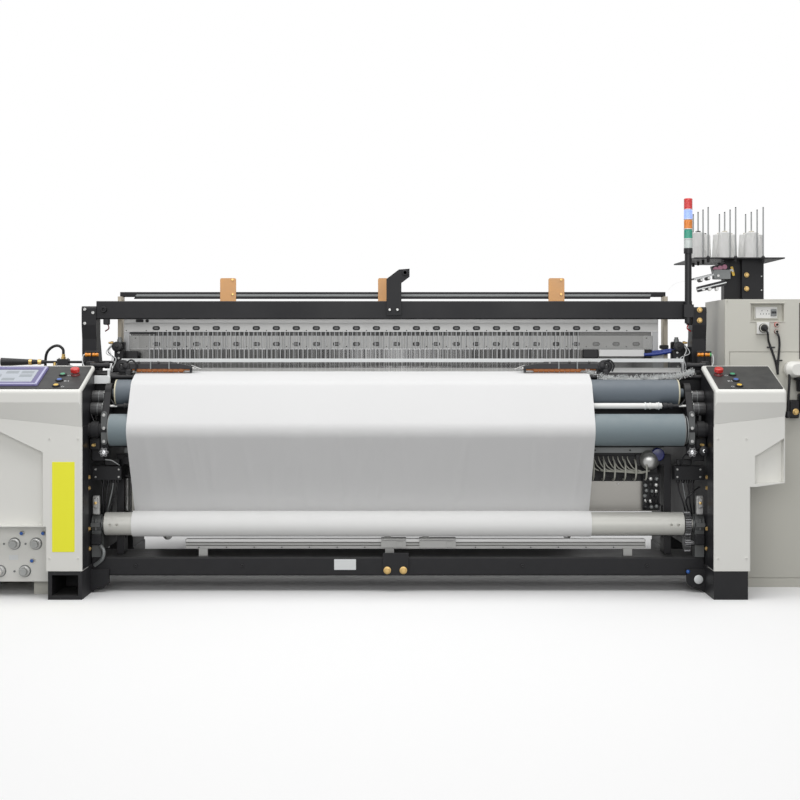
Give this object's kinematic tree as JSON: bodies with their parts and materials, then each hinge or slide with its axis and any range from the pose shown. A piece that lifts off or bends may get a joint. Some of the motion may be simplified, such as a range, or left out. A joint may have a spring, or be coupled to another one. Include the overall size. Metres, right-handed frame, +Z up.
{
  "type": "power loom",
  "caption": "Wide air-jet weaving machine with cloth roll, rocking reed, heald frames, warp beam, sloping control consoles, signal tower and electrical cabinet.",
  "frame": {"origin": "on the floor, in the middle of the whole machine", "axes": "+X to the weaver's right along the loom, +Y from the weaver towards the warp beam, +Z up"},
  "size_m": [3.92, 1.8, 1.796],
  "materials": {
    "cast_frame": "painted dark grey casting",
    "black_casting": "black painted casting",
    "grey_casting": "grey painted casting",
    "woven_cloth": "plain weave, off-white",
    "warp_thread": "parallel threads",
    "dark_roller": "dark blue-grey roller cover",
    "pale_roller": "blue-grey grip cover",
    "black_plastic": "black moulded plastic",
    "white_plastic": "white lamp tube",
    "steel_tube": "drawn steel tube",
    "gear_steel": "machined steel",
    "white_hose": "white air hose",
    "reed_steel": "polished dents",
    "beige_paint": "beige paint",
    "heald_aluminium": "satin grey",
    "rail_aluminium": "mill finish",
    "laminate": "brown laminate",
    "lamp_plastic": "coloured lamp rings",
    "cover_paint": "warm white powder coat",
    "dark_panel": "dark satin panel",
    "button_plastic": "coloured button caps",
    "red_plastic": "red mushroom cap",
    "screen_plastic": "screen in a lilac bezel",
    "orange_rubber": "orange rings",
    "yarn": "wound yarn"
  },
  "bodies": {
    "root": {"left_side_frame": "cast_frame", "right_side_frame": "cast_frame", "lower_beams": "black_casting", "breast_beam": "black_casting", "cloth": "woven_cloth", "roller_housings": "black_casting", "cloth_roll_bearings": "grey_casting", "roller_stands": "black_casting", "air_manifold": "black_casting", "air_hoses": "white_hose", "inspection_lamp": "white_plastic", "guide_posts": "beige_paint", "top_beams": "black_casting", "heald_guides": "laminate", "beam_arms": "black_casting", "centre_bracket": "black_casting", "signal_pole": "black_plastic", "signal_lamps": "lamp_plastic", "left_console": "cover_paint", "right_console": "cover_paint", "console_panels": "dark_panel", "touch_screen": "screen_plastic", "side_covers": "cover_paint", "drive_housing": "cover_paint", "regulator_panel": "cover_paint", "front_rail": "rail_aluminium", "warp_sheet": "warp_thread", "dropper_box": "grey_casting", "temple_covers": "black_plastic", "electrical_cabinet": "cover_paint", "creel_stand": "black_casting", "yarn_cones": "yarn", "main_nozzle": "black_plastic"},
    "slay": {"slay": "black_casting", "reed": "reed_steel"},
    "heald_front": {"heald_frame_front": "heald_aluminium"},
    "heald_rear": {"heald_frame_rear": "heald_aluminium"},
    "take_up": {"take_up_roller": "pale_roller"},
    "press": {"press_roller": "dark_roller"},
    "roll": {"cloth_roll": "steel_tube", "wound_cloth": "woven_cloth", "cloth_roll_gear": "gear_steel"},
    "pinion": {"drive_gear": "gear_steel"},
    "warp_beam": {"warp_beam": "rail_aluminium", "warp_yarn": "warp_thread"},
    "back_rest": {"back_rest_roller": "pale_roller"},
    "temple_rings": {"temple_rings": "orange_rubber"},
    "left_star_knob": {"left_star_knob": "black_plastic"},
    "right_star_knob": {"right_star_knob": "black_plastic"},
    "left_front_button": {"left_front_button": "button_plastic"},
    "left_middle_button": {"left_middle_button": "button_plastic"},
    "left_rear_button": {"left_rear_button": "button_plastic"},
    "right_front_button": {"right_front_button": "button_plastic"},
    "right_middle_button": {"right_middle_button": "button_plastic"},
    "right_rear_button": {"right_rear_button": "button_plastic"},
    "left_emergency_stop": {"left_emergency_stop": "red_plastic"},
    "right_emergency_stop": {"right_emergency_stop": "red_plastic"},
    "regulator_knob_1": {"regulator_knob_1": "black_plastic"},
    "regulator_knob_2": {"regulator_knob_2": "black_plastic"},
    "regulator_knob_3": {"regulator_knob_3": "black_plastic"}
  },
  "joints": [
    {"name": "slay_rock", "type": "hinge", "parent": "root", "child": "slay", "pos_m": [0, -0.37, 0.69], "axis": [1, 0, 0], "range_deg": [0, 17]},
    {"name": "heald_front_lift", "type": "slide", "parent": "root", "child": "heald_front", "axis": [0, 0, 1], "range_m": [-0.08, 0]},
    {"name": "heald_rear_lift", "type": "slide", "parent": "root", "child": "heald_rear", "axis": [0, 0, 1], "range_m": [0, 0.08]},
    {"name": "take_up_turn", "type": "hinge", "parent": "root", "child": "take_up", "pos_m": [0, -0.74, 0.732], "axis": [1, 0, 0], "continuous": true},
    {"name": "press_turn", "type": "hinge", "parent": "root", "child": "press", "pos_m": [0, -0.655, 0.894], "axis": [1, 0, 0], "continuous": true},
    {"name": "roll_turn", "type": "hinge", "parent": "root", "child": "roll", "pos_m": [0, -0.645, 0.304], "axis": [1, 0, 0], "continuous": true},
    {"name": "pinion_turn", "type": "hinge", "parent": "root", "child": "pinion", "pos_m": [0, -0.645, 0.218], "axis": [1, 0, 0], "continuous": true},
    {"name": "warp_beam_turn", "type": "hinge", "parent": "root", "child": "warp_beam", "pos_m": [0, 0.5, 0.48], "axis": [1, 0, 0], "continuous": true},
    {"name": "back_rest_turn", "type": "hinge", "parent": "root", "child": "back_rest", "pos_m": [0, 0.28, 0.935], "axis": [1, 0, 0], "continuous": true},
    {"name": "temple_rings_turn", "type": "hinge", "parent": "root", "child": "temple_rings", "pos_m": [0, -0.572, 0.9981], "axis": [1, 0, 0], "continuous": true},
    {"name": "left_star_knob_turn", "type": "hinge", "parent": "root", "child": "left_star_knob", "pos_m": [-1.298, -0.764, 0.636], "axis": [0, 1, 0], "continuous": true},
    {"name": "right_star_knob_turn", "type": "hinge", "parent": "root", "child": "right_star_knob", "pos_m": [1.298, -0.764, 0.636], "axis": [0, 1, 0], "continuous": true},
    {"name": "left_front_button_press", "type": "slide", "parent": "root", "child": "left_front_button", "axis": [0, 0.3504, -0.9366], "range_m": [0, 0.003], "stiffness_N_per_m": 500, "springref_m": -0.001},
    {"name": "left_middle_button_press", "type": "slide", "parent": "root", "child": "left_middle_button", "axis": [0, 0.3504, -0.9366], "range_m": [0, 0.003], "stiffness_N_per_m": 500, "springref_m": -0.001},
    {"name": "left_rear_button_press", "type": "slide", "parent": "root", "child": "left_rear_button", "axis": [0, 0.3504, -0.9366], "range_m": [0, 0.003], "stiffness_N_per_m": 500, "springref_m": -0.001},
    {"name": "right_front_button_press", "type": "slide", "parent": "root", "child": "right_front_button", "axis": [0, 0.3504, -0.9366], "range_m": [0, 0.003], "stiffness_N_per_m": 500, "springref_m": -0.001},
    {"name": "right_middle_button_press", "type": "slide", "parent": "root", "child": "right_middle_button", "axis": [0, 0.3504, -0.9366], "range_m": [0, 0.003], "stiffness_N_per_m": 500, "springref_m": -0.001},
    {"name": "right_rear_button_press", "type": "slide", "parent": "root", "child": "right_rear_button", "axis": [0, 0.3504, -0.9366], "range_m": [0, 0.003], "stiffness_N_per_m": 500, "springref_m": -0.001},
    {"name": "left_emergency_stop_press", "type": "slide", "parent": "root", "child": "left_emergency_stop", "axis": [0, 0.3504, -0.9366], "range_m": [0, 0.005], "stiffness_N_per_m": 900, "springref_m": -0.001},
    {"name": "right_emergency_stop_press", "type": "slide", "parent": "root", "child": "right_emergency_stop", "axis": [0, 0.3504, -0.9366], "range_m": [0, 0.005], "stiffness_N_per_m": 900, "springref_m": -0.001},
    {"name": "regulator_knob_1_turn", "type": "hinge", "parent": "root", "child": "regulator_knob_1", "pos_m": [-1.696, -0.79, 0.231], "axis": [0, 1, 0], "continuous": true},
    {"name": "regulator_knob_2_turn", "type": "hinge", "parent": "root", "child": "regulator_knob_2", "pos_m": [-1.601, -0.79, 0.231], "axis": [0, 1, 0], "continuous": true},
    {"name": "regulator_knob_3_turn", "type": "hinge", "parent": "root", "child": "regulator_knob_3", "pos_m": [-1.65, -0.79, 0.11], "axis": [0, 1, 0], "continuous": true}
  ],
  "couplings": [
    {"joint": "heald_rear_lift", "follows": "heald_front_lift", "ratio": -1},
    {"joint": "press_turn", "follows": "warp_beam_turn", "ratio": 5.75},
    {"joint": "take_up_turn", "follows": "warp_beam_turn", "ratio": 4.8592},
    {"joint": "roll_turn", "follows": "warp_beam_turn", "ratio": -5.9483},
    {"joint": "pinion_turn", "follows": "warp_beam_turn", "ratio": 8.2615},
    {"joint": "back_rest_turn", "follows": "warp_beam_turn", "ratio": 6.2727},
    {"joint": "temple_rings_turn", "follows": "warp_beam_turn", "ratio": -30}
  ]
}
